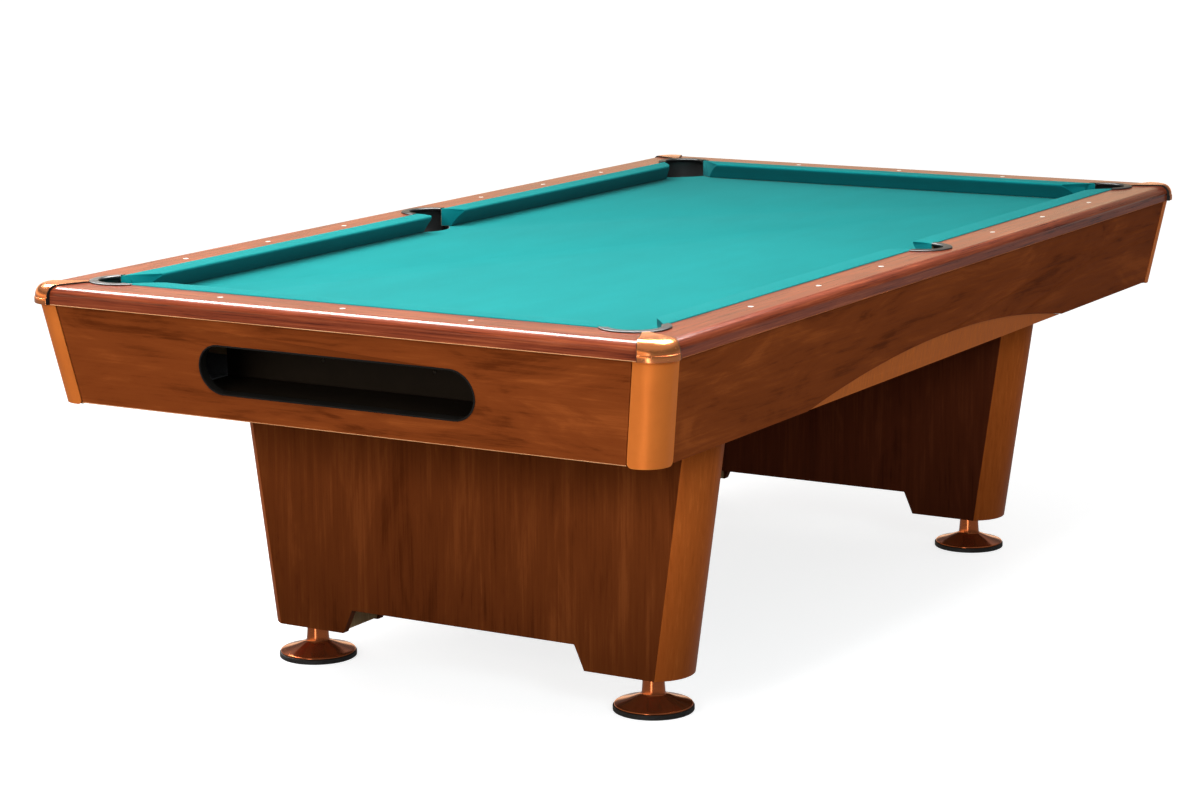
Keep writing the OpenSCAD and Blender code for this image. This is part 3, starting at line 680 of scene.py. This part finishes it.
CAP_H = 0.035
CAP_BOTTOM = RAIL_TOP - CAP_H
APRON_H = 0.194
APRON_BOTTOM = CAP_BOTTOM - APRON_H
APRON_LEAN = 0.031
APRON_OUT = RAIL_W - 0.004
CASTING_OUT = RAIL_W + 0.007
CASTING_R = 0.052
WEDGE_TIP = 0.049            # a casting's edge over the rail: where it starts, and its slope
WEDGE_SLOPE = 34 / 78
POST_TOP_OUT = APRON_OUT + 0.0006
POST_SPAN = 0.0600
POST_R = 0.045
POST_DEPTHS = (0.0, 0.004)   # outer and inner face of the sheet and of the wood behind it
BLOCK_DEPTHS = (0.0042, 0.0138)
GASKET = 0.0009


def wedge_edge(out):
    """Distance past the corner of the casting's edge, at a distance outwards."""
    return WEDGE_TIP + (out - WEDGE_TIP) * WEDGE_SLOPE


def round_corner(out, radius, start, steps):
    """Outer contour of a corner from start to its mirror: an arc, with straights to reach it."""
    middle = out - radius
    if start > middle:
        trim = math.degrees(math.asin((start - middle) / radius))
        return arc((middle, middle), radius, trim, 90 - trim, steps)
    bend = arc((middle, middle), radius, 0, 90, steps)
    straight = [(out, start + (middle - start) * k / 3) for k in range(3)]
    return straight + bend + [(v, u) for u, v in reversed(straight)]


def casting_profile():
    """(inset, above the rail top) up the casting's outside and over its dome."""
    band = [(1.6, -35.0), (0.5, -34.6), (0.0, -33.6), (0.0, -23.6), (0.25, -22.9), (0.9, -22.5),
            (1.5, -22.4), (1.6, -21.6)]
    dome = [(1.6 + 21.4 * (1 - math.cos(a)), -21.0 + 24.0 * math.sin(a))
            for a in (math.pi / 2 * k / 14 for k in range(1, 15))]
    return in_mm(band + dome)


def make_casting(name, sx, sy):
    """Copper casting over the cap's corner, with a thin black gasket on each side of it. Its
    rings run across it, from the liner's flange to the outer face."""
    tip_angle = math.atan2(0.043, 0.052)          # of its first ring, round the pocket's centre
    outer = round_corner(CASTING_OUT, CASTING_R, wedge_edge(CASTING_OUT), 26)
    last = len(outer) - 1
    profile = casting_profile()

    def ring(index, shift, sunk):
        angle = tip_angle + (math.pi / 2 - 2 * tip_angle) * index / last
        inner = Vector((CORNER_IN + (LINER_R + 0.0003) * math.cos(angle),
                        CORNER_IN + (LINER_R + 0.0003) * math.sin(angle)))
        out = Vector(outer[index])
        across = (inner - out).normalized()
        slide = Vector((0.0, shift)) if index == 0 else Vector((shift, 0.0))
        points = [(inner, -CAP_H + sunk)]
        points += [(out + across * (e + sunk), min(z, 0.003 - sunk)) for e, z in profile]
        points += [(inner.lerp(out, 0.06), 0.0030 - sunk), (inner, 0.0026 - sunk)]
        return [corner_point(sx, sy, *(q + slide), RAIL_TOP + z) for q, z in points]

    ends = [(GASKET + back, depth) for back, depth in rounding(0.0009, 2)]
    rings = [ring(0, back, depth) for back, depth in ends]
    rings += [ring(k, 0, 0) for k in range(1, last)]
    rings += [ring(last, back, depth) for back, depth in reversed(ends)]
    casting = loft("corner_casting_" + name + "_shaped", rings, copper, sharp=32)
    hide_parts("corner_casting_" + name)
    for label, index in (("side", 0), ("end", last)):
        sides = [ring(index, shift, 0.0002) for shift in (0.0, GASKET)]
        loft("corner_gasket_" + name + "_" + label, sides, black_plastic)


def bent_panel(name, sx, sy, depths, span, bottom, lift, material):
    """Panel bent round a corner, leaning with the aprons, between two depths from the outer
    line; its lower corners are rounded by lift."""
    top = CAP_BOTTOM - 0.0001
    slope = APRON_LEAN / APRON_H

    def row(z, depth, width):
        out = POST_TOP_OUT - (CAP_BOTTOM - z) * slope - depth
        path = round_corner(out, POST_R - depth, out + depth - width, 24)
        return [corner_point(sx, sy, u, v, z) for u, v in path]

    levels = [(top, span), (top - 0.002, span)]
    levels += [(top - (top - bottom) * k / 10, span) for k in range(1, 10)]
    for k in range(1, 7):
        a = math.pi / 2 * k / 6
        levels.append((bottom + lift * (1 - math.sin(a)), span - lift * (1 - math.cos(a))))
    rows = [row(z, depths[0], width) for z, width in levels]
    inner = [row(z, depths[1], width - 0.0008) for z, width in levels]
    count = len(rows[0])
    points = [p for r in rows for p in r] + [p for r in inner for p in r]
    faces = grid_faces(len(rows), count)
    shift = len(rows) * count
    faces += [tuple(shift + i for i in reversed(f)) for f in faces]
    rim = (list(range(count)) + [r * count + count - 1 for r in range(1, len(rows))]
           + [shift - count + k for k in range(count - 2, -1, -1)]
           + [r * count for r in range(len(rows) - 2, 0, -1)])
    for k, a in enumerate(rim):
        b = rim[(k + 1) % len(rim)]
        faces.append((a, b, shift + b, shift + a))
    panel = piece(name, points, faces, material, sharp=35)
    soften(panel, 0.0009, 45)
    return panel


def make_post(name, sx, sy):
    """Sheet-metal cover over a solid wood corner; the wood is dark, as painted shade in the gaps
    beside the cover.
    """
    low = APRON_BOTTOM - 0.004
    post = bent_panel("corner_post_" + name + "_shaped", sx, sy, POST_DEPTHS, POST_SPAN, low,
                      0.011, satin_copper)
    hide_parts("corner_post_" + name)
    # The wood behind the cover takes the dark box board: its dark colour is painted shade in the gap
    # beside the post
    bent_panel("corner_block_" + name, sx, sy, BLOCK_DEPTHS, POST_SPAN + 0.0012, low + 0.001,
               0.003, box_board)


# ---------------------------------------------------------------- edgings, with painted highlights, and box screws

BEAD_R = 0.0009


def make_bead(name, side, u, z, reach):
    """Thin rounded edging along a side, up to reach either way. Its pale colour is partly edge
    banding and partly a painted highlight.
    """
    ring = arc((u, z), BEAD_R, 0, 330, 11)
    rings = [[side_point(side, x, v, height) for x, height in ring] for v in (-reach, reach)]
    loft(name, rings, edging_and_highlight["Y" if side in (RIGHT, LEFT) else "X"], sharp=80)


def make_edgings():
    """Thin edgings under the four caps, and under the front and rear aprons: edge banding that also
    paints the highlight along those edges, darker on the left and right sides as painted shade.
    """
    casting_edge = wedge_edge(RAIL_W) - 0.0008
    for side, name in SIDE_NAMES.items():
        make_bead("cap_edging_" + name, side, RAIL_W - 0.0004, CAP_BOTTOM + 0.0004,
                  along_half(side) + casting_edge)
    apron_reach = HALF_X + POST_TOP_OUT - POST_SPAN - APRON_LEAN - 0.001
    for side in (FRONT, REAR):
        make_bead("apron_edging_" + SIDE_NAMES[side], side, APRON_OUT - APRON_LEAN - 0.0003,
                  APRON_BOTTOM + 0.0004, apron_reach)


def make_box_screws():
    """Two pan-head screws in the back board of the ball box."""
    back = -HALF_Y + 0.022
    head = in_mm([(0, -1.0), (3.6, -1.0), (3.6, 0.4), (3.1, 1.3), (1.9, 1.9), (1.5, 1.9),
                  (1.2, 0.7), (0, 0.6)])
    for name, x in (("left", -0.126), ("right", 0.126)):
        place = Matrix.Translation((x, back, 0.697)) @ Matrix.Rotation(math.pi / 2, 4, "X")
        lathe("box_screw_" + name, place, head, black_screw, "table", steps=24)


# ---------------------------------------------------------------- levelling feet

THREAD_PITCH = 2.5           # in millimetres
THREAD_TURNS = 29


def foot_profile():
    """Turned foot: cone with a rolled rim, and a stem drawn in towards its top."""
    plug = [(0, 4.0), (12, 4.0), (12, 10.0), (74.5, 10.0)]
    rim = arc((75.6, 11.9), 1.9, -90, 70, 7)
    cone = [(76.25 - 51.0 * t, 13.7 + 18.0 * t - 1.2 * math.sin(math.pi * t))
            for t in (k / 10 for k in range(1, 11))]
    neck = [(24.4, 32.6), (23.9, 34.0), (23.4, 36.0)]
    stem = [(23.2 - 2.7 * math.sin(math.pi / 2 * t), 36.0 + 58.0 * t)
            for t in (k / 8 for k in range(1, 9))]
    collar = [(20.5, 96.4), (19.8, 97.6), (18.4, 98.0), (10.0, 98.0)]
    thread = []
    for turn in range(THREAD_TURNS):
        z = 98.6 + turn * THREAD_PITCH
        thread += [(10.0, z), (10.0, z + 0.5), (9.2, z + 1.25), (9.2, z + 1.5)]
    tip = [(9.6, 173.0), (8, 175.0), (0, 175.0)]
    return in_mm(plug + rim + cone + neck + stem + collar + thread + tip)


def pad_profile():
    """Rubber pad with a rounded tread and two grooves round its edge."""
    low = arc((78.4, 1.6), 1.6, -90, 0, 4)
    grooves = [(80.0, 3.2), (79.3, 3.6), (79.3, 4.0), (80.0, 4.4), (80.0, 6.0), (79.3, 6.4),
               (79.3, 6.8), (80.0, 7.2)]
    high = arc((78.6, 8.4), 1.4, 0, 90, 4)
    inside = [(12.05, 9.8), (12.05, 3.8), (0, 3.8)]
    return in_mm([(0, 0)] + low + grooves + high + inside)


def make_feet():
    """Each foot and its pad on the axis of their CAD nodes."""
    for name in CORNERS:
        low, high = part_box("foot_" + name)
        axis = Matrix.Translation(((low.x + high.x) / 2, (low.y + high.y) / 2, 0))
        foot = lathe("foot_" + name + "_shaped", axis, foot_profile(), foot_copper,
                     "foot_" + name)
        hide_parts("foot_" + name)
        pad = lathe("pad_" + name + "_shaped", axis, pad_profile(), pad_rubber,
                    "foot_base_" + name)
        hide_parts("pad_" + name)


# ---------------------------------------------------------------- camera, lights and stage

def make_camera():
    """A long lens from the front right corner's side, a little above the table."""
    data = bpy.data.cameras.new("camera")
    data.sensor_width = 36.0
    data.lens = 90.75
    data.clip_start = 0.05
    data.clip_end = 200.0
    cam = bpy.data.objects.new("camera", data)
    bpy.context.scene.collection.objects.link(cam)
    azimuth, pitch, roll = (math.radians(a) for a in (30.42, -11.034, -0.408))
    cam.matrix_world = (Matrix.Translation((3.1784, -5.6933, 1.7164))
                        @ Matrix.Rotation(azimuth, 4, "Z")
                        @ Matrix.Rotation(math.pi / 2 + pitch, 4, "X")
                        @ Matrix.Rotation(roll, 4, "Z"))
    bpy.context.scene.camera = cam


def area_light(name, place, target, size, power, color=(1, 1, 1)):
    """A rectangular light at a place, aimed at a target."""
    data = bpy.data.lights.new(name, "AREA")
    data.shape = "RECTANGLE"
    data.size, data.size_y = size
    data.energy = power
    data.color = color
    light = bpy.data.objects.new(name, data)
    bpy.context.scene.collection.objects.link(light)
    place = Vector(place)
    aim = (Vector(target) - place).to_track_quat("-Z", "Y")
    light.matrix_world = Matrix.Translation(place) @ aim.to_matrix().to_4x4()
    return light


def make_floor():
    """Pale floor that takes shadows, and throws no colour back on the table."""
    floor = bpy.data.objects.new("floor", bpy.data.meshes.new("floor"))
    half = 60.0
    floor.data.from_pydata([(-half, -half, 0), (half, -half, 0), (half, half, 0),
                            (-half, half, 0)], [], [(0, 1, 2, 3)])
    bpy.context.scene.collection.objects.link(floor)
    t = Tree("pale_floor")
    mist = t.noise(t.coords(), 0.7, 2, 0.5)
    t.set(emission_strength=0.74, emission_color=(1, 1, 1, 1), specular_ior_level=0.2)
    floor.data.materials.append(
        t.join(base_color=t.mix(mist, (0.60, 0.60, 0.60), (0.64, 0.64, 0.64)),
               roughness=t.remap(mist, 0, 1, 0.6, 0.7)))
    floor.visible_diffuse = False
    floor.visible_glossy = False


def make_world():
    """Three worlds in one. The light that falls on the table is grey above and dark below the
    horizon. Reflections see a grey floor with one bright strip, a backdrop that is warm towards
    the west and dark towards the east, and a dim ceiling. The camera sees white."""
    world = bpy.data.worlds.new("studio")
    world.use_nodes = True
    tree = world.node_tree

    def add(kind):
        return tree.nodes.new("ShaderNode" + kind)

    def mix(factor, a, b):
        node = add("Mix")
        node.data_type = "RGBA"
        tree.links.new(factor, node.inputs[0])
        for socket, value in ((node.inputs[6], a), (node.inputs[7], b)):
            if isinstance(value, tuple):
                socket.default_value = (*value, 1)
            else:
                tree.links.new(value, socket)
        return node.outputs[2]

    def step(value, low, high):
        """0 below low and 1 above high, smooth between them."""
        ramp = add("MapRange")
        ramp.interpolation_type = "SMOOTHSTEP"
        ramp.inputs["From Min"].default_value = low
        ramp.inputs["From Max"].default_value = high
        tree.links.new(value, ramp.inputs["Value"])
        return ramp.outputs[0]

    where = add("TexCoord").outputs["Generated"]
    split = add("SeparateXYZ")
    tree.links.new(where, split.inputs[0])
    east, _, up = split.outputs
    level = add("VectorMath")
    level.operation = "MULTIPLY"
    level.inputs[1].default_value = (1, 1, 0)
    tree.links.new(where, level.inputs[0])
    heading = add("VectorMath")
    heading.operation = "NORMALIZE"
    tree.links.new(level.outputs[0], heading.inputs[0])
    facing = add("VectorMath")
    facing.operation = "DOT_PRODUCT"
    facing.inputs[1].default_value = (0.13, -0.99, 0)      # heading of the bright strip
    tree.links.new(heading.outputs[0], facing.inputs[0])

    path = add("LightPath")
    falling = mix(step(up, -0.04, 0.32), (0.07,) * 3, (0.50,) * 3)
    pale_floor = mix(step(facing.outputs["Value"], 0.988, 0.998), (0.32,) * 3, (5.0,) * 3)
    backdrop = mix(step(up, 0.10, 0.18), (1.50, 1.15, 0.75), (0.42, 0.36, 0.27))
    backdrop = mix(step(east, -0.1, 0.25), backdrop, (0.12,) * 3)
    backdrop = mix(step(up, -0.10, 0.02), pale_floor, backdrop)
    ceiling = mix(step(up, 0.30, 0.60), (0.12,) * 3, (0.42,) * 3)
    reflected = mix(step(up, 0.18, 0.20), backdrop, ceiling)
    light = mix(path.outputs["Is Glossy Ray"], falling, reflected)
    tree.links.new(mix(path.outputs["Is Camera Ray"], light, (1.0,) * 3),
                   tree.nodes["Background"].inputs["Color"])
    bpy.context.scene.world = world


def make_lights():
    """Soft lights that only shade the table, and one softbox that only shows in its gloss."""
    overhead = area_light("overhead", (-0.6, -0.9, 2.75), (-0.6, -0.8, 0.8), (3.6, 2.6), 135)
    front = area_light("front", (-0.5, -5.2, 1.7), (0, -0.8, 0.5), (2.0, 1.6), 72)
    right = area_light("right", (3.6, -2.9, 2.3), (0.5, -1.0, 0.5), (1.6, 1.2), 52,
                       (0.88, 1.0, 1.05))
    for light in (overhead, front, right):
        light.visible_glossy = False
    gloss = area_light("gloss", (-0.9, -0.1, 2.8), (-0.9, -0.1, 0.8), (4.8, 1.5), 760)
    gloss.visible_diffuse = False


# ---------------------------------------------------------------- materials of the CAD pieces

for side, name in SIDE_NAMES.items():
    axis = "Y" if side in (RIGHT, LEFT) else "X"
    dress("rail_cap_" + name, rail_wood[axis], 0.0006)
    dress("apron_" + name, apron_wood[axis], 0.0008)
for name in ("front", "rear"):
    for face in ("outer", "inner"):
        dress("leg_panel_" + name + "_" + face, leg_wood[face], 0.0008)
    dress("leg_cheeks_" + name, bronze["cheek"], 0.0008)
    dress("leg_core_" + name, timber["Z"])
for name in ("front", "middle", "rear"):
    dress("slate_" + name, slate_stone)
for name in ("subrails", "feather_strips", "side_beams"):
    dress(name, timber["Y"])
for name in ("rail_bolts", "leg_bolts", "foot_inserts"):
    dress(name, steel)
dress("cross_beams", timber["X"])
dress("arch_panels", bronze["arch"], 0.0006)
dress("window_trim", black_plastic, 0.0005)
dress("sights", sight_pearl, 0.0003)
dress("ball_box", box_board)
dress("ball_gullies", grey_plastic)

# ---------------------------------------------------------------- pieces made here

for side in SIDES:
    for span in cushion_spans(side):
        make_cushion(side, *span)
make_bed_cloth()
make_liners()
for name, signs in CORNERS.items():
    make_casting(name, *signs)
    make_post(name, *signs)
make_feet()
make_edgings()
make_box_screws()

# ---------------------------------------------------------------- stage

make_camera()
make_floor()
make_world()
make_lights()
bpy.context.scene.view_settings.view_transform = "Standard"
